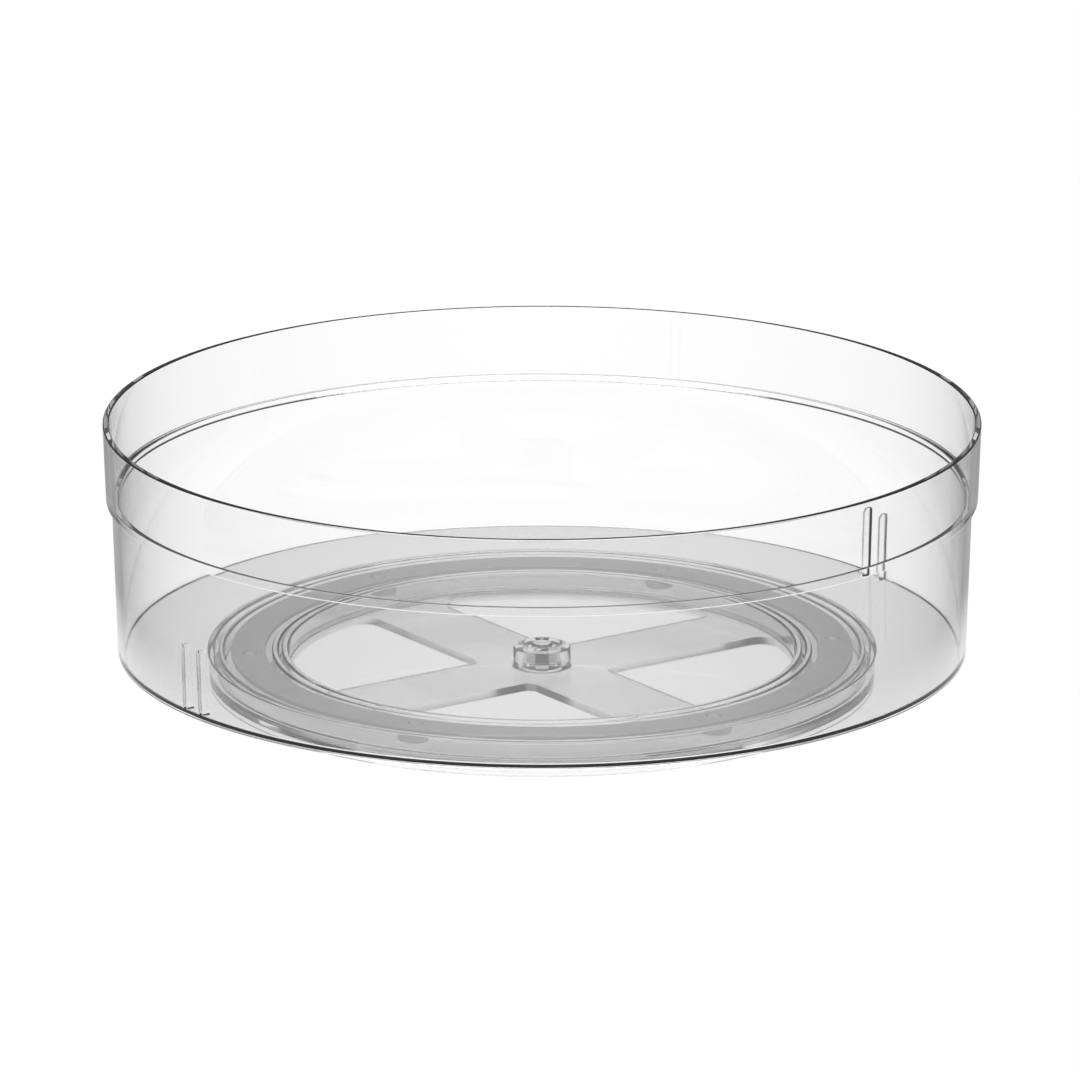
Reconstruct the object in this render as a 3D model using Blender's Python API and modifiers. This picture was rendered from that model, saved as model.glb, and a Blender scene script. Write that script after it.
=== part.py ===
"""Clear turntable bin: a stepped round tray that spins on a ball race in a low base ring.

Metres, +Z up. The origin is on the axis of rotation, on the surface that the base stands on.
The four arms of the base lie along X and Y, and so do the two pairs of divider ribs (along X).
"""

import math

import bmesh
import bpy
from mathutils import Matrix, Vector

NAME = "turntable_bin"
MM = 0.001
STEPS = 72          # facets round every large turned piece
SMALL_STEPS = 24    # facets round the hub, the cups and the balls
MERGE = 0.00001

# Bin: a drafted wall with one step, so that bins nest and a lid can sit on the ledge.
BIN_FOOT = 11.6 * MM            # lowest edge of the bin, a rim under its wall
BIN_HEIGHT = 78.6 * MM
BIN_UNDERSIDE = 12.2 * MM
FLOOR_THICKNESS = 1.0 * MM
WALL_THICKNESS = 2.1 * MM
RIM_RADIUS = 146.0 * MM
STEP_UPPER_RADIUS = 145.1 * MM
STEP_LOWER_RADIUS = 143.2 * MM
STEP_HEIGHT = 52.7 * MM         # outer corner of the step, above the foot
STEP_THICKNESS = 2.6 * MM
BOTTOM_RADIUS = 141.6 * MM
FOOT_INNER = 139.6 * MM

# Ribs inside the wall: each pair holds one end of a divider panel.
RIB_SPACING = 9.0 * MM
RIB_OFFSET = -1.4 * MM          # from the X axis to the middle of each pair
RIB_THICKNESS = 1.0 * MM
RIB_DEPTH = 3.1 * MM
RIB_HEIGHT = 22.2 * MM
RIB_ROUND = 1.6 * MM

# Base: skirt, race plate with a guide wall on each side, inner wall and four arms with a hub.
SKIRT_RADIUS = 111.2 * MM
SKIRT_INNER = 109.5 * MM
SKIRT_TOP = 11.5 * MM
LIP_RADIUS = 111.8 * MM
LIP_HEIGHT = 1.0 * MM
OUTER_GUIDE = (106.2 * MM, 108.1 * MM)
INNER_GUIDE = (88.1 * MM, 90.3 * MM)
GUIDE_TOP = 10.9 * MM
INNER_WALL = (84.7 * MM, 87.0 * MM)
WALL_TOP = 11.2 * MM
PLATE_BOTTOM = 1.8 * MM
RACE_TOP = 4.8 * MM
ARM_TOP = 4.4 * MM
ARM_WIDTH = 29.5 * MM
OPENING_RADIUS = 84.4 * MM
OPENING_INNER_ROUND = 3.5 * MM
OPENING_OUTER_ROUND = 6.0 * MM
HUB_RADIUS = 9.6 * MM
HUB_TOP = 11.1 * MM
HUB_BORE = 6.7 * MM
RECESS_RADIUS = 8.6 * MM
RECESS_TOP = 3.3 * MM

# Ball race: one flat cage ring with six cups, and a ball in each.
BALLS = 6
PITCH_RADIUS = 97.7 * MM
FIRST_BALL = math.radians(30)
RUNNING_GAP = 0.3 * MM
CAGE_RING = (92.4 * MM, 103.9 * MM)
CAGE_TOP = 11.0 * MM
CAGE_THICKNESS = 1.5 * MM
CUP_RADIUS = 5.0 * MM
CUP_BOTTOM = 5.7 * MM
BALL_RADIUS = (BIN_UNDERSIDE - RACE_TOP) / 2 - RUNNING_GAP
BALL_HEIGHT = (BIN_UNDERSIDE + RACE_TOP) / 2

# Pivot: a hexagonal plug pushed up into the bin's boss, whose flange holds the base on.
BOSS_RADIUS = 6.4 * MM
BOSS_BOTTOM = 4.3 * MM
SOCKET_TOP = 11.8 * MM
SOCKET_FLATS = 6.0 * MM
SHANK_FLATS = 5.4 * MM
SHANK_TOP = 11.4 * MM
FLANGE_RADIUS = 8.2 * MM
FLANGE_BOTTOM = 2.0 * MM
FLANGE_TOP = 3.0 * MM
HEX_TURN = math.radians(25)     # azimuth of one corner of the hexagon


def clear_scene():
    for obj in list(bpy.data.objects):
        bpy.data.objects.remove(obj)


def new_collection(name):
    collection = bpy.data.collections.new(name)
    bpy.context.scene.collection.children.link(collection)
    return collection


def plastic(name, colour, roughness, transmission=0.0):
    """A moulded plastic; transmission 1 is a clear one."""
    material = bpy.data.materials.new(name)
    material.use_nodes = True
    shader = material.node_tree.nodes["Principled BSDF"]
    shader.inputs["Base Color"].default_value = (*colour, 1.0)
    shader.inputs["Roughness"].default_value = roughness
    shader.inputs["Metallic"].default_value = 0.0
    shader.inputs["IOR"].default_value = 1.5
    shader.inputs["Transmission Weight"].default_value = transmission
    return material


def new_object(name, mesh, collection, material=None):
    obj = bpy.data.objects.new(name, mesh)
    collection.objects.link(obj)
    if material is not None:
        mesh.materials.append(material)
    return obj


def new_operand(name, mesh, operands):
    """A solid that only adds to or cuts another one."""
    obj = new_object(name, mesh, operands)
    obj.hide_render = True
    obj.display_type = "WIRE"
    return obj


def combine(obj, operation, operand):
    modifier = obj.modifiers.new(operand.name, "BOOLEAN")
    modifier.operation = operation
    modifier.solver = "EXACT"
    modifier.object = operand


def arc(centre, radius, start, end, count):
    """Points on an arc about centre, both ends included; angles in degrees."""
    points = []
    for i in range(count + 1):
        angle = math.radians(start + (end - start) * i / count)
        points.append(
            (centre[0] + radius * math.cos(angle), centre[1] + radius * math.sin(angle))
        )
    return points


def turned(name, profile, steps, collection, material):
    """A closed outline of (radius, height) points, turned once round Z.

    The outline runs down its outer side and up its inner one.
    """
    mesh = bpy.data.meshes.new(name)
    count = len(profile)
    edges = [(i, (i + 1) % count) for i in range(count)]
    mesh.from_pydata([(r, 0.0, z) for r, z in profile], edges, [])
    obj = new_object(name, mesh, collection, material)
    screw = obj.modifiers.new("turn", "SCREW")
    screw.axis = "Z"
    screw.angle = math.tau
    screw.steps = steps
    screw.render_steps = steps
    screw.use_merge_vertices = True
    screw.merge_threshold = MERGE
    screw.use_smooth_shade = True
    return obj


def hexagon(name, flats, bottom, top):
    """An upright hexagonal prism on the axis, as a mesh."""
    prism = bmesh.new()
    corner = flats / 2 / math.cos(math.pi / 6)
    bmesh.ops.create_cone(
        prism, cap_ends=True, segments=6, radius1=corner, radius2=corner, depth=top - bottom
    )
    # The primitive starts with a corner on Y.
    turn = Matrix.Rotation(HEX_TURN - math.pi / 2, 4, "Z")
    place = Matrix.Translation((0, 0, (top + bottom) / 2)) @ turn
    bmesh.ops.transform(prism, matrix=place, verts=prism.verts)
    mesh = bpy.data.meshes.new(name)
    prism.to_mesh(mesh)
    prism.free()
    return mesh


def bin_profile():
    """Section of the tray: drafted wall with a step and a foot rim, floor, and the pivot's boss."""
    rim = BIN_FOOT + BIN_HEIGHT
    step = BIN_FOOT + STEP_HEIGHT
    ledge = step + STEP_THICKNESS
    floor = BIN_UNDERSIDE + FLOOR_THICKNESS
    return [
        (RIM_RADIUS, rim),
        (STEP_UPPER_RADIUS, step),
        (STEP_LOWER_RADIUS, step),
        (BOTTOM_RADIUS, BIN_FOOT),
        (FOOT_INNER, BIN_FOOT),
        (FOOT_INNER, BIN_UNDERSIDE),
        (BOSS_RADIUS, BIN_UNDERSIDE),
        (BOSS_RADIUS, BOSS_BOTTOM),
        (0.0, BOSS_BOTTOM),
        (0.0, floor),
        (BOTTOM_RADIUS - WALL_THICKNESS, floor),
        (STEP_LOWER_RADIUS - WALL_THICKNESS, ledge),
        (STEP_UPPER_RADIUS - WALL_THICKNESS, ledge),
        (RIM_RADIUS - WALL_THICKNESS, rim),
    ]


def divider_ribs(operands):
    """Two pairs of upright ribs on the inside of the wall, across the tray from each other.

    Each rib leans outwards with the wall.
    """
    floor = BIN_UNDERSIDE + FLOOR_THICKNESS
    foot = BOTTOM_RADIUS - WALL_THICKNESS
    inner, outer = foot - RIB_DEPTH, foot + WALL_THICKNESS / 2
    bottom, top = floor - FLOOR_THICKNESS / 2, floor + RIB_HEIGHT
    size = Vector((outer - inner, RIB_THICKNESS, top - bottom))
    draft = (STEP_LOWER_RADIUS - BOTTOM_RADIUS) / STEP_HEIGHT
    ribs = bmesh.new()
    for side in (1, -1):
        for along in (RIB_OFFSET - RIB_SPACING / 2, RIB_OFFSET + RIB_SPACING / 2):
            centre = Vector((side * (inner + outer) / 2, along, (bottom + top) / 2))
            place = Matrix.Translation(centre) @ Matrix.Diagonal((*size, 1))
            bmesh.ops.create_cube(ribs, size=1.0, matrix=place)
    crests = [
        edge
        for edge in ribs.edges
        if all(abs(abs(v.co.x) - inner) < MERGE and abs(v.co.z - top) < MERGE for v in edge.verts)
    ]
    bmesh.ops.bevel(
        ribs, geom=crests, offset=RIB_ROUND, offset_type="OFFSET", segments=3, profile=0.5,
        affect="EDGES",
    )
    for vert in ribs.verts:
        vert.co.x += math.copysign(draft * (vert.co.z - bottom), vert.co.x)
    mesh = bpy.data.meshes.new("divider_ribs")
    ribs.to_mesh(mesh)
    ribs.free()
    return new_operand("divider_ribs", mesh, operands)


def make_bin(parts, operands, material):
    tray = turned("bin", bin_profile(), STEPS, parts, material)
    combine(tray, "UNION", divider_ribs(operands))
    below = BOSS_BOTTOM - 2 * MM
    socket = hexagon("plug_socket", SOCKET_FLATS, below, SOCKET_TOP)
    combine(tray, "DIFFERENCE", new_operand("plug_socket", socket, operands))


def base_profile():
    """Section of the base: skirt with its lip, hub, arm plate, and the walls beside the race."""
    profile = [
        (LIP_RADIUS, SKIRT_TOP),
        (LIP_RADIUS, SKIRT_TOP - LIP_HEIGHT),
        (SKIRT_RADIUS, SKIRT_TOP - LIP_HEIGHT),
        (SKIRT_RADIUS, 0.0),
        (SKIRT_INNER, 0.0),
        (SKIRT_INNER, PLATE_BOTTOM),
        (RECESS_RADIUS, PLATE_BOTTOM),
        (RECESS_RADIUS, RECESS_TOP),
        (HUB_BORE, RECESS_TOP),
        (HUB_BORE, HUB_TOP),
        (HUB_RADIUS, HUB_TOP),
        (HUB_RADIUS, ARM_TOP),
    ]
    floor = ARM_TOP
    for (inner, outer), top in (
        (INNER_WALL, WALL_TOP), (INNER_GUIDE, GUIDE_TOP), (OUTER_GUIDE, GUIDE_TOP)
    ):
        profile += [(inner, floor), (inner, top), (outer, top), (outer, RACE_TOP)]
        floor = RACE_TOP
    return profile + [(SKIRT_INNER, RACE_TOP), (SKIRT_INNER, SKIRT_TOP)]


def opening_outline():
    """The opening between two arms: two straight sides and an arc, with rounded corners."""
    side = ARM_WIDTH / 2
    near = side + OPENING_INNER_ROUND
    across = side + OPENING_OUTER_ROUND
    along = math.sqrt((OPENING_RADIUS - OPENING_OUTER_ROUND) ** 2 - across**2)
    turn = math.degrees(math.atan2(across, along))
    return (
        arc((along, across), OPENING_OUTER_ROUND, -90, turn, 5)
        + arc((0.0, 0.0), OPENING_RADIUS, turn, 90 - turn, 10)[1:-1]
        + arc((across, along), OPENING_OUTER_ROUND, 90 - turn, 180, 5)
        + arc((near, near), OPENING_INNER_ROUND, 180, 270, 4)
    )


def opening_cutter(index, operands):
    """One opening's outline, extruded through the arm plate and turned to its quadrant."""
    name = f"opening_{index + 1}"
    curve = bpy.data.curves.new(name, "CURVE")
    curve.dimensions = "2D"
    curve.fill_mode = "BOTH"
    curve.extrude = 2 * (ARM_TOP - PLATE_BOTTOM)
    points = opening_outline()
    spline = curve.splines.new("POLY")
    spline.points.add(len(points) - 1)
    for point, (x, y) in zip(spline.points, points):
        point.co = (x, y, 0.0, 1.0)
    spline.use_cyclic_u = True
    drawn = new_object(name + "_curve", curve, operands)
    drawn.location.z = (ARM_TOP + PLATE_BOTTOM) / 2
    drawn.rotation_euler.z = index * math.pi / 2
    bpy.context.view_layer.update()
    depsgraph = bpy.context.evaluated_depsgraph_get()
    mesh = bpy.data.meshes.new_from_object(drawn.evaluated_get(depsgraph))
    weld = bmesh.new()
    weld.from_mesh(mesh)
    bmesh.ops.remove_doubles(weld, verts=weld.verts, dist=MERGE)
    weld.to_mesh(mesh)
    weld.free()
    cutter = new_operand(name, mesh, operands)
    cutter.matrix_world = drawn.matrix_world
    bpy.data.objects.remove(drawn)
    return cutter


def make_base(parts, operands, material):
    base = turned("base", base_profile(), STEPS, parts, material)
    for index in range(4):
        combine(base, "DIFFERENCE", opening_cutter(index, operands))


def ball_places():
    """Where the balls sit, with the azimuth of each."""
    for i in range(BALLS):
        angle = FIRST_BALL + i * math.tau / BALLS
        x, y = PITCH_RADIUS * math.cos(angle), PITCH_RADIUS * math.sin(angle)
        yield angle, Vector((x, y, BALL_HEIGHT))


def make_cage(parts, operands, material):
    """A flat ring with a cup under it for each ball, and a round pocket through each cup."""
    inner, outer = CAGE_RING
    bottom = CAGE_TOP - CAGE_THICKNESS
    profile = [(outer, CAGE_TOP), (outer, bottom), (inner, bottom), (inner, CAGE_TOP)]
    cage = turned("ball_cage", profile, STEPS, parts, material)
    overlap = CAGE_THICKNESS / 2
    depth = bottom + overlap - CUP_BOTTOM
    cups, pockets = bmesh.new(), bmesh.new()
    for angle, place in ball_places():
        cup_centre = Vector((place.x, place.y, CUP_BOTTOM + depth / 2))
        turn = Matrix.Rotation(angle, 4, "Z")
        bmesh.ops.create_cone(
            cups, cap_ends=True, segments=SMALL_STEPS, radius1=CUP_RADIUS, radius2=CUP_RADIUS,
            depth=depth, matrix=Matrix.Translation(cup_centre) @ turn,
        )
        bmesh.ops.create_uvsphere(
            pockets, u_segments=SMALL_STEPS, v_segments=SMALL_STEPS // 2,
            radius=BALL_RADIUS + RUNNING_GAP, matrix=Matrix.Translation(place) @ turn,
        )
    for name, solids, operation in (("cups", cups, "UNION"), ("pockets", pockets, "DIFFERENCE")):
        mesh = bpy.data.meshes.new(name)
        solids.to_mesh(mesh)
        solids.free()
        combine(cage, operation, new_operand(name, mesh, operands))


def make_balls(parts, material):
    """Each ball has its own object, whose X axis is the radial axis that it rolls about."""
    ball = bmesh.new()
    bmesh.ops.create_uvsphere(
        ball, u_segments=20, v_segments=10, radius=BALL_RADIUS,
        matrix=Matrix.Rotation(math.pi / 2, 4, "Y"),
    )
    mesh = bpy.data.meshes.new("ball")
    ball.to_mesh(mesh)
    ball.free()
    mesh.shade_smooth()
    mesh.materials.append(material)
    for index, (angle, place) in enumerate(ball_places()):
        obj = bpy.data.objects.new(f"ball_{index + 1}", mesh)
        parts.objects.link(obj)
        obj.location = place
        obj.rotation_euler.z = angle


def make_plug(parts, operands, material):
    """A round flange under the base's hub with a hexagonal shank up into the bin's boss."""
    profile = [
        (FLANGE_RADIUS, FLANGE_TOP),
        (FLANGE_RADIUS, FLANGE_BOTTOM),
        (0.0, FLANGE_BOTTOM),
        (0.0, FLANGE_TOP),
    ]
    plug = turned("pivot_plug", profile, 2 * SMALL_STEPS, parts, material)
    middle = (FLANGE_BOTTOM + FLANGE_TOP) / 2
    shank = hexagon("plug_shank", SHANK_FLATS, middle, SHANK_TOP)
    combine(plug, "UNION", new_operand("plug_shank", shank, operands))


def main():
    clear_scene()
    parts = new_collection(NAME)
    operands = new_collection(NAME + "_operands")
    make_bin(parts, operands, plastic("clear_bin", (0.95, 0.96, 0.96), 0.05, 1.0))
    make_base(parts, operands, plastic("clear_base", (0.93, 0.94, 0.94), 0.08, 1.0))
    make_cage(parts, operands, plastic("grey_cage", (0.48, 0.48, 0.48), 0.4))
    make_balls(parts, plastic("grey_balls", (0.6, 0.6, 0.6), 0.25))
    make_plug(parts, operands, plastic("clear_plug", (0.9, 0.91, 0.91), 0.1, 1.0))


main()
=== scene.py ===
"""Looks for the clear turntable bin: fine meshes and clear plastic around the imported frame."""

import math

import bmesh
import bpy
from mathutils import Matrix, Vector


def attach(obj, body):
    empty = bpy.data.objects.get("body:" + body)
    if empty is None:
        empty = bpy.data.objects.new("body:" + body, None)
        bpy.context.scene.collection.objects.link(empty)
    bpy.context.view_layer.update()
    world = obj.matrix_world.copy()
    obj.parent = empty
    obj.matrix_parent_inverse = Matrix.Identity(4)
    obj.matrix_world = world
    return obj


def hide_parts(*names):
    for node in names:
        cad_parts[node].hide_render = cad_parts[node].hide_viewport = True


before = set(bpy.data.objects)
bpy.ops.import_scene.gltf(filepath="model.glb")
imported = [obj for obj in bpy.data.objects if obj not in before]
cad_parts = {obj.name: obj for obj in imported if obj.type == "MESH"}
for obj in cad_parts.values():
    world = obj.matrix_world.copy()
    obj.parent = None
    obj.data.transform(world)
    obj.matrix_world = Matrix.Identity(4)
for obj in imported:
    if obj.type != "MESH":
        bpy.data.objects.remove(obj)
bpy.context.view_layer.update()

MM = 0.001
MERGE = 0.000001
LARGE_STEPS = 720       # facets round the tray, the base and the cage
SMALL_STEPS = 64        # facets round the hub, the cups and the balls
SHARP = math.radians(38)

# The same driving sizes as the frame has, with the small rounds that the frame leaves out.
RIM_RADIUS = 146.0 * MM
FOOT_HEIGHT = 11.6 * MM
UNDERSIDE = 12.2 * MM
FLOOR = 13.2 * MM
RIM_HEIGHT = 90.2 * MM
WALL = 2.1 * MM
STEP_HEIGHT = 64.3 * MM
LEDGE_HEIGHT = 66.9 * MM
STEP_UPPER_RADIUS = 145.1 * MM
STEP_LOWER_RADIUS = 143.2 * MM
BOTTOM_RADIUS = 141.6 * MM
FOOT_INNER = 139.6 * MM
DRAFT = (STEP_LOWER_RADIUS - BOTTOM_RADIUS) / (LEDGE_HEIGHT - FLOOR)

RIB_SPACING = 9.0 * MM
RIB_OFFSET = -1.4 * MM      # from the X axis to the middle of each pair
RIB_THICKNESS = 1.0 * MM
RIB_DEPTH = 3.1 * MM
RIB_HEIGHT = 22.2 * MM
RIB_ROOT = 0.5 * MM         # how far a rib and its fillets reach into the tray
RIB_SEAT = 0.04 * MM        # sinks a straight fillet's edges into the round wall
RIB_FILLET = 0.7 * MM
RIB_CREST = 1.8 * MM        # round of the inner top corner
RIB_EDGE = 0.3 * MM

BOSS_RADIUS = 6.4 * MM
BOSS_BOTTOM = 4.3 * MM
SOCKET_TOP = 11.8 * MM
SOCKET_FLATS = 6.0 * MM
SHANK_FLATS = 5.4 * MM
SHANK_TOP = 11.4 * MM
FLANGE_RADIUS = 8.2 * MM
FLANGE_BOTTOM = 2.0 * MM
FLANGE_TOP = 3.0 * MM
HEX_TURN = math.radians(25)     # azimuth of one corner of the hexagon
OVERCUT = 1.0 * MM              # how far a cutting solid stands out of what it cuts

SKIRT_RADIUS = 111.2 * MM
SKIRT_INNER = 109.5 * MM
SKIRT_TOP = 11.5 * MM
LIP_RADIUS = 111.8 * MM
LIP_BOTTOM = 10.5 * MM
OUTER_GUIDE = (106.2 * MM, 108.1 * MM)
INNER_GUIDE = (88.1 * MM, 90.3 * MM)
GUIDE_TOP = 10.9 * MM
INNER_WALL = (84.7 * MM, 87.0 * MM)
WALL_TOP = 11.2 * MM
PLATE_BOTTOM = 1.8 * MM
RACE_TOP = 4.8 * MM
ARM_TOP = 4.4 * MM
ARM_WIDTH = 29.5 * MM
OPENING_RADIUS = 84.4 * MM
OPENING_NEAR_ROUND = 3.5 * MM
OPENING_FAR_ROUND = 6.0 * MM
HUB_RADIUS = 9.6 * MM
HUB_TOP = 11.1 * MM
HUB_BORE = 6.7 * MM
RECESS_RADIUS = 8.6 * MM
RECESS_TOP = 3.3 * MM

BALLS = 6
PITCH_RADIUS = 97.7 * MM
FIRST_BALL = math.radians(30)
BALL_RADIUS = 3.4 * MM
BALL_HEIGHT = 8.5 * MM
POCKET_RADIUS = 3.55 * MM
CAGE_RING = (92.4 * MM, 103.9 * MM)
CAGE_TOP = 11.0 * MM
CAGE_BOTTOM = 9.5 * MM
CUP_RADIUS = 5.0 * MM
CUP_BOTTOM = 5.7 * MM
CUP_OVERLAP = 0.7 * MM      # how far a cup reaches up into the ring
FLASH = 0.03 * MM           # height of the line left by a ball's two half moulds
FLASH_WIDTH = math.radians(1.5)

# Surface detail, as noise scales per metre and bump heights.
POLISH_SCALE = 60.0
FLOW_SCALE = 22.0
FLOW_STRENGTH = 0.03
DRIFT_SCALE = 35.0
SATIN_SCALE = 400.0
GRAIN_SCALE = 2500.0
GRAIN_HEIGHT = 0.04 * MM
GRAIN_STRENGTH = 0.4
CUT_ROUGHNESS = 0.3             # added on the upright sides of the base's openings
TRAY_TINT = (0.999, 1.0, 1.0)
BASE_TINT = (0.99, 0.991, 0.99)
CAGE_GREYS = (0.325, 0.35)

# The view: a very long lens from in front of the tray, 16 degrees above the horizon.
VIEW_AZIMUTH = math.radians(235)
VIEW_ELEVATION = math.radians(16.1)
VIEW_DISTANCE = 3.8
AIM_HEIGHT = 48.2 * MM
AIM_LEFT = 0.67 * MM
LENS = 380.0
FRONT = Vector((math.cos(VIEW_AZIMUTH), math.sin(VIEW_AZIMUTH), 0.0))

# Light, where 1 shows as white.
FRONT_LIGHT = 0.85
BACK_LIGHT = 0.15
SKY_LIGHT = 0.22
SWEEP_LIGHT = 0.35
LAMP = 2.3
FLOOR_GLOW = 0.65
FLOOR_WHITE = 0.29
FLOOR_HALF = 40.0
TABLE_FADE = (0.145, 0.2)       # radii between which the floor fades out of reflections


# ---------------------------------------------------------------- mesh helpers


def rounded(outline, segments=5):
    """Points of a closed outline of (radius, height, corner radius), its corners as arcs."""
    points = []
    count = len(outline)
    for i, (r, z, radius) in enumerate(outline):
        here = Vector((r, z))
        if not radius:
            points.append(here)
            continue
        back = (Vector(outline[i - 1][:2]) - here).normalized()
        on = (Vector(outline[(i + 1) % count][:2]) - here).normalized()
        half = back.angle(on) / 2
        centre = here + (back + on).normalized() * (radius / math.sin(half))
        start = here + back * (radius / math.tan(half)) - centre
        end = here + on * (radius / math.tan(half)) - centre
        first = math.atan2(start.y, start.x)
        sweep = math.remainder(math.atan2(end.y, end.x) - first, math.tau)
        for k in range(segments + 1):
            angle = first + sweep * k / segments
            points.append(centre + radius * Vector((math.cos(angle), math.sin(angle))))
    return points


def turned(name, points, steps):
    """A closed outline turned once round Z; it runs down its outer side and up its inner one."""
    mesh = bpy.data.meshes.new(name)
    edges = [(i, (i + 1) % len(points)) for i in range(len(points))]
    mesh.from_pydata([(p[0], 0.0, p[1]) for p in points], edges, [])
    obj = bpy.data.objects.new(name, mesh)
    bpy.context.scene.collection.objects.link(obj)
    screw = obj.modifiers.new("turn", "SCREW")
    screw.axis = "Z"
    screw.angle = math.tau
    screw.steps = steps
    screw.render_steps = steps
    screw.use_merge_vertices = True
    screw.merge_threshold = MERGE
    return obj


def solid(name, shape):
    """An object from a bmesh, which it frees."""
    mesh = bpy.data.meshes.new(name)
    shape.to_mesh(mesh)
    shape.free()
    obj = bpy.data.objects.new(name, mesh)
    bpy.context.scene.collection.objects.link(obj)
    return obj


def applied(obj):
    """Makes an object's evaluated mesh its own, with no modifier left."""
    depsgraph = bpy.context.evaluated_depsgraph_get()
    mesh = bpy.data.meshes.new_from_object(obj.evaluated_get(depsgraph), depsgraph=depsgraph)
    obj.modifiers.clear()
    obj.data = mesh
    return obj


def combine(obj, operation, operand):
    """Adds to or cuts a solid with another one, which is then removed."""
    modifier = obj.modifiers.new(operation, "BOOLEAN")
    modifier.operation = operation
    modifier.solver = "EXACT"
    modifier.object = operand
    applied(obj)
    bpy.data.objects.remove(operand)


def bevelled(obj, width, segments=3):
    """Rounds every sharp edge of a small solid."""
    modifier = obj.modifiers.new("round", "BEVEL")
    modifier.width = width
    modifier.segments = segments
    modifier.limit_method = "ANGLE"
    modifier.angle_limit = math.radians(40)
    return applied(obj)


def finished(obj, material):
    """Smooth shading that keeps real edges and flat faces flat, and the piece's one material."""
    obj.data.materials.clear()
    obj.data.materials.append(material)
    obj.data.shade_smooth()
    obj.data.set_sharp_from_angle(angle=SHARP)
    normals = obj.modifiers.new("normals", "WEIGHTED_NORMAL")
    normals.keep_sharp = True
    normals.weight = 100
    return obj


def hexagon(name, flats, bottom, top):
    """An upright hexagonal prism on the axis."""
    shape = bmesh.new()
    corner = flats / 2 / math.cos(math.pi / 6)
    bmesh.ops.create_cone(
        shape, cap_ends=True, segments=6, radius1=corner, radius2=corner, depth=top - bottom
    )
    # The primitive starts with a corner on Y.
    turn = Matrix.Rotation(HEX_TURN - math.pi / 2, 4, "Z")
    place = Matrix.Translation((0, 0, (top + bottom) / 2)) @ turn
    bmesh.ops.transform(shape, matrix=place, verts=shape.verts)
    return solid(name, shape)


# ------------------------------------------------------------------- materials


def new_material(name):
    material = bpy.data.materials.new(name)
    material.use_nodes = True
    return material, material.node_tree, material.node_tree.nodes["Principled BSDF"]


def math_node(tree, operation, first, second):
    node = tree.nodes.new("ShaderNodeMath")
    node.operation = operation
    for socket, value in zip(node.inputs, (first, second)):
        if isinstance(value, (int, float)):
            socket.default_value = value
        else:
            tree.links.new(value, socket)
    return node.outputs["Value"]


def ramp(tree, value, low, high, start, end):
    node = tree.nodes.new("ShaderNodeMapRange")
    for name, number in (
        ("From Min", low), ("From Max", high), ("To Min", start), ("To Max", end)
    ):
        node.inputs[name].default_value = number
    tree.links.new(value, node.inputs["Value"])
    return node.outputs["Result"]


def add_noise(tree, scale, detail):
    """Noise over the piece's own coordinates, in metres."""
    place = tree.nodes.new("ShaderNodeTexCoord")
    noise = tree.nodes.new("ShaderNodeTexNoise")
    noise.inputs["Scale"].default_value = scale
    noise.inputs["Detail"].default_value = detail
    tree.links.new(place.outputs["Object"], noise.inputs["Vector"])
    return noise.outputs["Fac"]


def spread(tree, value, low, high):
    """Maps a noise value of 0.3 to 0.7 onto a range."""
    scaled = tree.nodes.new("ShaderNodeMapRange")
    scaled.inputs["From Min"].default_value = 0.3
    scaled.inputs["From Max"].default_value = 0.7
    scaled.inputs["To Min"].default_value = low
    scaled.inputs["To Max"].default_value = high
    tree.links.new(value, scaled.inputs["Value"])
    return scaled.outputs["Result"]


def add_bump(tree, shader, height, distance, strength):
    bump = tree.nodes.new("ShaderNodeBump")
    bump.inputs["Distance"].default_value = distance
    bump.inputs["Strength"].default_value = strength
    tree.links.new(height, bump.inputs["Height"])
    tree.links.new(bump.outputs["Normal"], shader.inputs["Normal"])


def cut_sides(tree):
    """1 on the upright sides of the openings between the base's arms, and 0 everywhere else."""
    place = tree.nodes.new("ShaderNodeTexCoord")
    flat = tree.nodes.new("ShaderNodeVectorMath")
    flat.operation = "MULTIPLY"
    flat.inputs[1].default_value = (1.0, 1.0, 0.0)
    tree.links.new(place.outputs["Object"], flat.inputs[0])
    radius = tree.nodes.new("ShaderNodeVectorMath")
    radius.operation = "LENGTH"
    tree.links.new(flat.outputs["Vector"], radius.inputs[0])
    facing = tree.nodes.new("ShaderNodeSeparateXYZ")
    tree.links.new(place.outputs["Normal"], facing.inputs["Vector"])
    tilt = math_node(tree, "ABSOLUTE", facing.outputs["Z"], 0.0)
    upright = math_node(tree, "LESS_THAN", tilt, 0.5)
    inside = math_node(tree, "LESS_THAN", radius.outputs["Value"], OPENING_RADIUS + 0.1 * MM)
    outside = math_node(tree, "GREATER_THAN", radius.outputs["Value"], HUB_RADIUS + 1.0 * MM)
    ring = math_node(tree, "MULTIPLY", inside, outside)
    return math_node(tree, "MULTIPLY", upright, ring)


def clear_plastic(name, tint, rough, flow, matte=0.0):
    """Polished clear plastic: faint flow marks from moulding, and a slightly uneven polish.

    The base's is matte on the sides of its openings.
    """
    material, tree, shader = new_material(name)
    shader.inputs["Base Color"].default_value = (*tint, 1.0)
    shader.inputs["Transmission Weight"].default_value = 1.0
    shader.inputs["IOR"].default_value = 1.5
    polish = add_noise(tree, POLISH_SCALE, 3.0)
    level = spread(tree, polish, *rough)
    if matte:
        level = math_node(tree, "ADD", level, math_node(tree, "MULTIPLY", cut_sides(tree), matte))
    tree.links.new(level, shader.inputs["Roughness"])
    add_bump(tree, shader, add_noise(tree, FLOW_SCALE, 1.0), flow, FLOW_STRENGTH)
    return material


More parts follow.
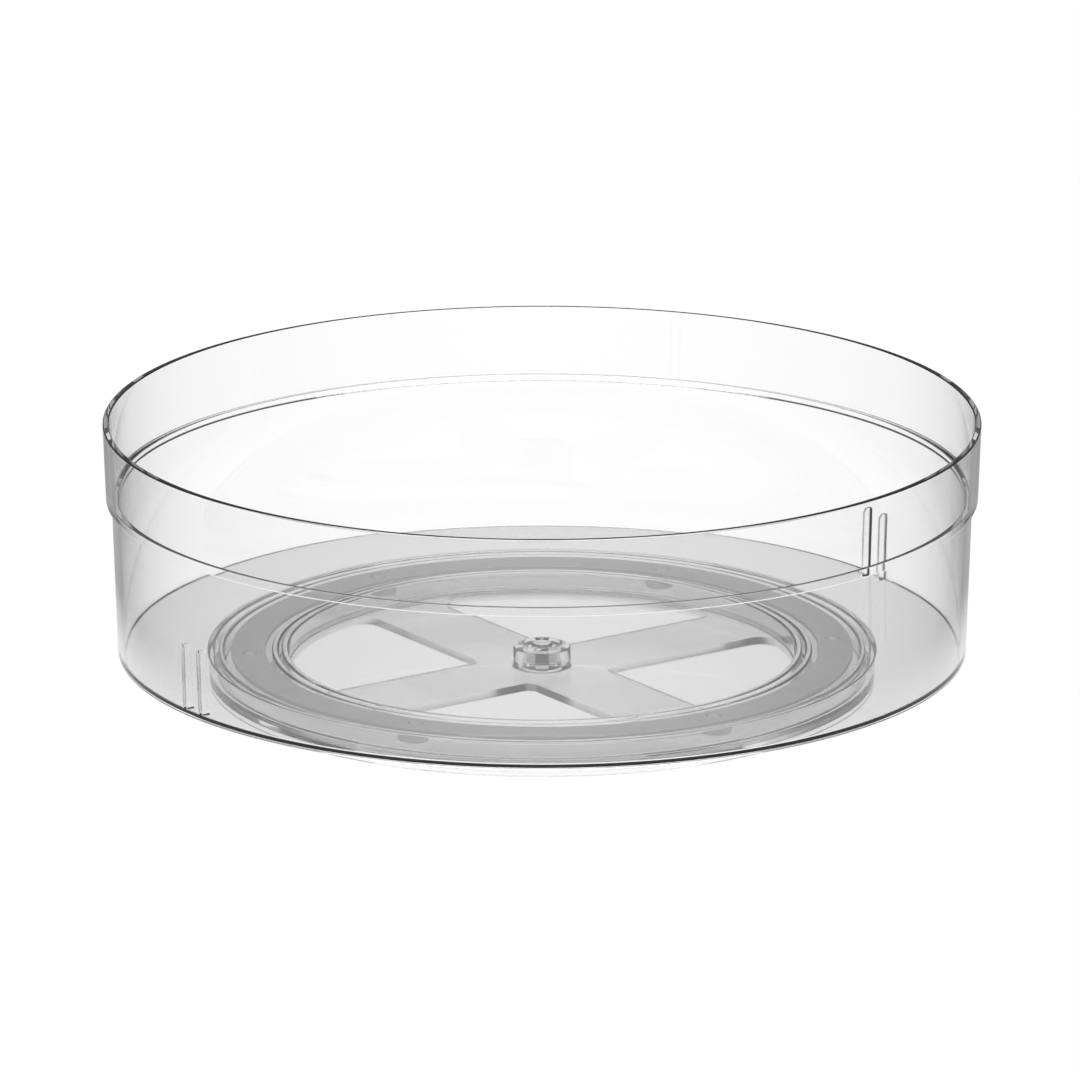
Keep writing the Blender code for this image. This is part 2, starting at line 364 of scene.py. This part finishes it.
def grey_plastic(name, rough):
    """Satin acetal: a fine moulded grain, and a tone that drifts a little."""
    material, tree, shader = new_material(name)
    mix = tree.nodes.new("ShaderNodeMix")
    mix.data_type = "RGBA"
    for socket, grey in zip(("A", "B"), CAGE_GREYS):
        mix.inputs[socket].default_value = (grey, grey, grey, 1.0)
    drift = spread(tree, add_noise(tree, DRIFT_SCALE, 4.0), 0.0, 1.0)
    satin = spread(tree, add_noise(tree, SATIN_SCALE, 3.0), *rough)
    grain = add_noise(tree, GRAIN_SCALE, 3.0)
    tree.links.new(drift, mix.inputs["Factor"])
    tree.links.new(mix.outputs["Result"], shader.inputs["Base Color"])
    tree.links.new(satin, shader.inputs["Roughness"])
    add_bump(tree, shader, grain, GRAIN_HEIGHT, GRAIN_STRENGTH)
    return material


# ---------------------------------------------------------------------- pieces


def tray_outline():
    """Section of the tray, every edge with the small round of a moulding."""
    foot = BOTTOM_RADIUS - WALL
    return [
        (RIM_RADIUS, RIM_HEIGHT, 0.5 * MM),
        (STEP_UPPER_RADIUS, STEP_HEIGHT, 0.5 * MM),
        (STEP_LOWER_RADIUS, STEP_HEIGHT, 0.4 * MM),
        (BOTTOM_RADIUS, FOOT_HEIGHT, 0.4 * MM),
        (FOOT_INNER, FOOT_HEIGHT, 0.4 * MM),
        (FOOT_INNER, UNDERSIDE, 0.2 * MM),
        (BOSS_RADIUS, UNDERSIDE, 0.4 * MM),
        (BOSS_RADIUS, BOSS_BOTTOM, 0.4 * MM),
        (0.0, BOSS_BOTTOM, 0),
        (0.0, FLOOR, 0),
        (foot, FLOOR, 0.6 * MM),
        (STEP_LOWER_RADIUS - WALL, LEDGE_HEIGHT, 0.4 * MM),
        (STEP_UPPER_RADIUS - WALL, LEDGE_HEIGHT, 0.4 * MM),
        (RIM_RADIUS - WALL, RIM_HEIGHT, 0.5 * MM),
    ]


def fillets(length):
    """A bar along Z whose two sides are hollow fillets, which flare out onto a face at X = 0."""
    half = RIB_THICKNESS / 2
    side = [(RIB_ROOT, half + RIB_FILLET)]
    side += arc((-RIB_FILLET, half + RIB_FILLET), RIB_FILLET, 0, -90, 6)
    outline = side + [(x, -y) for x, y in reversed(side)]
    shape = bmesh.new()
    face = shape.faces.new([shape.verts.new((x, y, 0.0)) for x, y in outline])
    grown = bmesh.ops.extrude_face_region(shape, geom=[face])
    ends = [v for v in grown["geom"] if isinstance(v, bmesh.types.BMVert)]
    bmesh.ops.translate(shape, verts=ends, vec=(0, 0, length))
    bmesh.ops.recalc_face_normals(shape, faces=shape.faces)
    return solid("fillets", shape)


def rib_fin():
    """A thin upright fin along X, its inner top corner well rounded."""
    size = (RIB_DEPTH + WALL / 2, RIB_THICKNESS, RIB_HEIGHT + RIB_ROOT)
    shape = bmesh.new()
    bmesh.ops.create_cube(shape, size=1.0, matrix=Matrix.Diagonal((*size, 1)))
    crest = [
        e for e in shape.edges if all(v.co.x < 0 and v.co.z > 0 for v in e.verts)
    ]
    bmesh.ops.bevel(
        shape, geom=crest, offset=RIB_CREST, offset_type="OFFSET", segments=8, profile=0.5,
        affect="EDGES",
    )
    middle = ((WALL / 2 - RIB_DEPTH) / 2, 0, (RIB_HEIGHT - RIB_ROOT) / 2)
    bmesh.ops.translate(shape, verts=shape.verts, vec=middle)
    return bevelled(solid("rib", shape), RIB_EDGE)


def divider_rib(side, along):
    """One upright rib on the wall, in three solids: the fin, and its fillets to wall and floor."""
    foot = BOTTOM_RADIUS - WALL
    along_wall = fillets(RIB_HEIGHT - 0.4 * MM)
    along_floor = fillets(RIB_DEPTH + 0.2 * MM)
    along_floor.data.transform(Matrix.Rotation(math.pi / 2, 4, "Y"))
    along_floor.data.transform(Matrix.Translation((-RIB_DEPTH, 0, 0)))
    lean = Matrix.Identity(4)
    lean[0][2] = DRAFT
    turn = Matrix.Rotation(0 if side > 0 else math.pi, 4, "Z")
    reach = math.sqrt(foot**2 - along**2) + RIB_SEAT
    place = Matrix.Translation((side * reach, along, FLOOR)) @ turn @ lean
    pieces = [rib_fin(), along_wall, along_floor]
    for piece in pieces:
        piece.data.transform(place)
    return pieces


def make_tray(material):
    tray = turned("tray", rounded(tray_outline()), LARGE_STEPS)
    for side in (1, -1):
        for along in (RIB_OFFSET - RIB_SPACING / 2, RIB_OFFSET + RIB_SPACING / 2):
            for piece in divider_rib(side, along):
                combine(tray, "UNION", piece)
    combine(tray, "DIFFERENCE", hexagon("socket", SOCKET_FLATS, BOSS_BOTTOM - OVERCUT, SOCKET_TOP))
    return finished(tray, material)


def base_outline():
    """Section of the base: skirt with its lip, hub, arm plate, and the walls beside the race."""
    outline = [
        (LIP_RADIUS, SKIRT_TOP, 0.4 * MM),
        (LIP_RADIUS, LIP_BOTTOM, 0.3 * MM),
        (SKIRT_RADIUS, LIP_BOTTOM, 0.2 * MM),
        (SKIRT_RADIUS, 0.0, 0.4 * MM),
        (SKIRT_INNER, 0.0, 0.4 * MM),
        (SKIRT_INNER, PLATE_BOTTOM, 0.4 * MM),
        (RECESS_RADIUS, PLATE_BOTTOM, 0.2 * MM),
        (RECESS_RADIUS, RECESS_TOP, 0.2 * MM),
        (HUB_BORE, RECESS_TOP, 0.2 * MM),
        (HUB_BORE, HUB_TOP, 0.3 * MM),
        (HUB_RADIUS, HUB_TOP, 0.5 * MM),
        (HUB_RADIUS, ARM_TOP, 0.5 * MM),
    ]
    floor = ARM_TOP
    for (inner, outer), top in (
        (INNER_WALL, WALL_TOP), (INNER_GUIDE, GUIDE_TOP), (OUTER_GUIDE, GUIDE_TOP)
    ):
        outline += [
            (inner, floor, 0.4 * MM),
            (inner, top, 0.7 * MM),
            (outer, top, 0.7 * MM),
            (outer, RACE_TOP, 0.4 * MM),
        ]
        floor = RACE_TOP
    return outline + [(SKIRT_INNER, RACE_TOP, 0.4 * MM), (SKIRT_INNER, SKIRT_TOP, 0.5 * MM)]


def arc(centre, radius, start, end, count):
    """Points on an arc about centre, both ends included; angles in degrees."""
    angles = [math.radians(start + (end - start) * i / count) for i in range(count + 1)]
    return [(centre[0] + radius * math.cos(a), centre[1] + radius * math.sin(a)) for a in angles]


def opening(index):
    """A solid that fills the opening between two arms of the base."""
    side = ARM_WIDTH / 2
    near, across = side + OPENING_NEAR_ROUND, side + OPENING_FAR_ROUND
    along = math.sqrt((OPENING_RADIUS - OPENING_FAR_ROUND) ** 2 - across**2)
    turn = math.degrees(math.atan2(across, along))
    points = arc((along, across), OPENING_FAR_ROUND, -90, turn, 12)
    points += arc((0, 0), OPENING_RADIUS, turn, 90 - turn, 48)[1:-1]
    points += arc((across, along), OPENING_FAR_ROUND, 90 - turn, 180, 12)
    points += arc((near, near), OPENING_NEAR_ROUND, 180, 270, 10)
    shape = bmesh.new()
    corners = [shape.verts.new((x, y, PLATE_BOTTOM - OVERCUT)) for x, y in points]
    face = shape.faces.new(corners)
    walls = bmesh.ops.extrude_face_region(shape, geom=[face])
    top = [v for v in walls["geom"] if isinstance(v, bmesh.types.BMVert)]
    bmesh.ops.translate(shape, verts=top, vec=(0, 0, ARM_TOP - PLATE_BOTTOM + 2 * OVERCUT))
    turned_by = Matrix.Rotation(index * math.pi / 2, 4, "Z")
    bmesh.ops.transform(shape, matrix=turned_by, verts=shape.verts)
    bmesh.ops.recalc_face_normals(shape, faces=shape.faces)
    return solid("opening", shape)


def make_base(material):
    base = turned("base_ring", rounded(base_outline()), LARGE_STEPS)
    for index in range(4):
        combine(base, "DIFFERENCE", opening(index))
    return finished(base, material)


def ball_places():
    for i in range(BALLS):
        angle = FIRST_BALL + i * math.tau / BALLS
        yield Matrix.Rotation(angle, 4, "Z") @ Matrix.Translation((PITCH_RADIUS, 0, BALL_HEIGHT))


def make_cage(material):
    inner, outer = CAGE_RING
    outline = [
        (outer, CAGE_TOP, 0.3 * MM),
        (outer, CAGE_BOTTOM, 0.3 * MM),
        (inner, CAGE_BOTTOM, 0.3 * MM),
        (inner, CAGE_TOP, 0.3 * MM),
    ]
    cage = turned("cage", rounded(outline), LARGE_STEPS)
    cup_outline = [
        (CUP_RADIUS, CAGE_BOTTOM + CUP_OVERLAP, 0),
        (CUP_RADIUS, CUP_BOTTOM, 0.4 * MM),
        (0.0, CUP_BOTTOM, 0),
        (0.0, CAGE_BOTTOM + CUP_OVERLAP, 0),
    ]
    for place in ball_places():
        cup = applied(turned("cup", rounded(cup_outline), SMALL_STEPS))
        cup.data.transform(place @ Matrix.Translation((0, 0, -BALL_HEIGHT)))
        combine(cage, "UNION", cup)
        shape = bmesh.new()
        bmesh.ops.create_uvsphere(
            shape, u_segments=SMALL_STEPS, v_segments=SMALL_STEPS // 2, radius=POCKET_RADIUS,
            matrix=place,
        )
        combine(cage, "DIFFERENCE", solid("pocket", shape))
    return finished(cage, material)


def make_balls(material):
    """Moulded balls, each with the fine flash line of its two half moulds."""
    points = []
    for i in range(SMALL_STEPS // 2 + 1):
        angle = math.pi / 2 - math.pi * i / (SMALL_STEPS // 2)
        proud = FLASH if abs(angle) < FLASH_WIDTH else 0.0
        radius = BALL_RADIUS - FLASH + proud
        points.append((abs(radius * math.cos(angle)), radius * math.sin(angle)))
    points[0], points[-1] = (0.0, points[0][1]), (0.0, points[-1][1])
    for index, place in enumerate(ball_places()):
        ball = applied(turned(f"race_ball_{index + 1}", points, SMALL_STEPS))
        ball.data.transform(place @ Matrix.Rotation(0.6 * index, 4, "X"))
        finished(ball, material)
        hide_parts(f"ball_{index + 1}")
        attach(ball, f"ball_{index + 1}")


def make_plug(material):
    outline = [
        (FLANGE_RADIUS, FLANGE_TOP, 0.3 * MM),
        (FLANGE_RADIUS, FLANGE_BOTTOM, 0.3 * MM),
        (0.0, FLANGE_BOTTOM, 0),
        (0.0, FLANGE_TOP, 0),
    ]
    plug = turned("plug", rounded(outline), SMALL_STEPS)
    shank = hexagon("shank", SHANK_FLATS, (FLANGE_BOTTOM + FLANGE_TOP) / 2, SHANK_TOP)
    combine(plug, "UNION", bevelled(shank, 0.25 * MM))
    return finished(plug, material)


# ------------------------------------------------------------- camera and room


def make_camera():
    camera = bpy.data.objects.new("camera", bpy.data.cameras.new("camera"))
    bpy.context.scene.collection.objects.link(camera)
    right = Vector((-math.sin(VIEW_AZIMUTH), math.cos(VIEW_AZIMUTH), 0.0))
    back = FRONT * math.cos(VIEW_ELEVATION) + Vector((0, 0, math.sin(VIEW_ELEVATION)))
    aim = Vector((0, 0, AIM_HEIGHT)) - right * AIM_LEFT
    camera.location = aim + back * VIEW_DISTANCE
    camera.rotation_mode = "QUATERNION"
    camera.rotation_quaternion = (-back).to_track_quat("-Z", "Y")
    camera.data.lens = LENS
    camera.data.clip_end = 200.0
    bpy.context.scene.camera = camera


def make_floor():
    """A wide white floor, which lets reflections through to the room round it."""
    shape = bmesh.new()
    bmesh.ops.create_grid(shape, x_segments=1, y_segments=1, size=FLOOR_HALF)
    floor = solid("floor", shape)
    material = bpy.data.materials.new("white_floor")
    material.use_nodes = True
    tree = material.node_tree
    shader = tree.nodes["Principled BSDF"]
    shader.inputs["Base Color"].default_value = (FLOOR_WHITE, FLOOR_WHITE, FLOOR_WHITE, 1.0)
    shader.inputs["Roughness"].default_value = 1.0
    shader.inputs["Specular IOR Level"].default_value = 0.0
    shader.inputs["Emission Color"].default_value = (1.0, 1.0, 1.0, 1.0)
    shader.inputs["Emission Strength"].default_value = FLOOR_GLOW
    path = tree.nodes.new("ShaderNodeLightPath")
    clear = tree.nodes.new("ShaderNodeBsdfTransparent")
    mix = tree.nodes.new("ShaderNodeMixShader")
    reflected = math_node(tree, "GREATER_THAN", path.outputs["Glossy Depth"], 0.5)
    distance = tree.nodes.new("ShaderNodeVectorMath")
    distance.operation = "LENGTH"
    place = tree.nodes.new("ShaderNodeTexCoord")
    tree.links.new(place.outputs["Object"], distance.inputs[0])
    outside = ramp(tree, distance.outputs["Value"], *TABLE_FADE, 0.0, 1.0)
    unseen = math_node(tree, "MULTIPLY", reflected, outside)
    tree.links.new(unseen, mix.inputs["Fac"])
    tree.links.new(shader.outputs["BSDF"], mix.inputs[1])
    tree.links.new(clear.outputs["BSDF"], mix.inputs[2])
    tree.links.new(mix.outputs["Shader"], tree.nodes["Material Output"].inputs["Surface"])
    floor.data.materials.append(material)


def make_room():
    """A dim studio: light from above and from the front, and a white sweep behind the table."""
    world = bpy.data.worlds.new("room")
    bpy.context.scene.world = world
    world.use_nodes = True
    tree = world.node_tree
    background = tree.nodes["Background"]
    direction = tree.nodes.new("ShaderNodeTexCoord").outputs["Generated"]
    split = tree.nodes.new("ShaderNodeSeparateXYZ")
    tree.links.new(direction, split.inputs["Vector"])
    facing = tree.nodes.new("ShaderNodeVectorMath")
    facing.operation = "DOT_PRODUCT"
    tree.links.new(direction, facing.inputs[0])
    facing.inputs[1].default_value = FRONT
    facing_front = ramp(tree, facing.outputs["Value"], -1.0, 1.0, 0.0, 1.0)
    front = math_node(tree, "MULTIPLY", math_node(tree, "POWER", facing_front, 2.0), FRONT_LIGHT)
    above = ramp(tree, split.outputs["Z"], -0.1, 0.35, BACK_LIGHT, SKY_LIGHT)
    studio = math_node(tree, "ADD", front, above)
    sweep = ramp(tree, facing.outputs["Value"], -0.75, -0.95, 0.0, SWEEP_LIGHT)
    low = ramp(tree, split.outputs["Z"], 0.0, -0.15, 0.0, 1.0)
    studio = math_node(tree, "ADD", studio, math_node(tree, "MULTIPLY", sweep, low))
    path = tree.nodes.new("ShaderNodeLightPath")
    bounced = math_node(tree, "ADD", path.outputs["Glossy Depth"], path.outputs["Diffuse Depth"])
    seen = math_node(tree, "LESS_THAN", bounced, 0.5)
    level = math_node(tree, "MAXIMUM", studio, seen)
    tree.links.new(level, background.inputs["Strength"])
    background.inputs["Color"].default_value = (1.0, 1.0, 1.0, 1.0)


def make_light():
    """One very wide lamp straight above, so that the floor is evenly lit."""
    lamp = bpy.data.lights.new("softbox", "SUN")
    lamp.energy = LAMP
    lamp.angle = math.radians(60)
    obj = bpy.data.objects.new("softbox", lamp)
    bpy.context.scene.collection.objects.link(obj)


def set_look():
    scene = bpy.context.scene
    scene.view_settings.view_transform = "Standard"
    scene.cycles.max_bounces = 12
    scene.cycles.transmission_bounces = 12
    scene.cycles.glossy_bounces = 4
    scene.cycles.transparent_max_bounces = 16
    scene.cycles.diffuse_bounces = 3


def lets_light_by(piece):
    """Clear plastic this thin dims the light on the floor too little to see."""
    piece.visible_shadow = False
    piece.visible_diffuse = False


def main():
    make_camera()
    make_floor()
    make_room()
    make_light()
    set_look()
    clear = clear_plastic("clear_tray", TRAY_TINT, (0.0, 0.03), 0.02 * MM)
    base_clear = clear_plastic("clear_base", BASE_TINT, (0.01, 0.05), 0.03 * MM, CUT_ROUGHNESS)
    grey = grey_plastic("grey_cage", (0.35, 0.5))
    ball_grey = grey_plastic("grey_balls", (0.45, 0.55))
    for piece, node, slot, body in (
        (make_tray(clear), "bin", "clear_bin", "bin"),
        (make_base(base_clear), "base", "clear_base", "base"),
        (make_plug(base_clear), "pivot_plug", "clear_plug", "bin"),
        (make_cage(grey), "ball_cage", "grey_cage", "cage"),
    ):
        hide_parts(node)
        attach(piece, body)
        if slot.startswith("clear"):
            lets_light_by(piece)
    make_balls(ball_grey)


main()
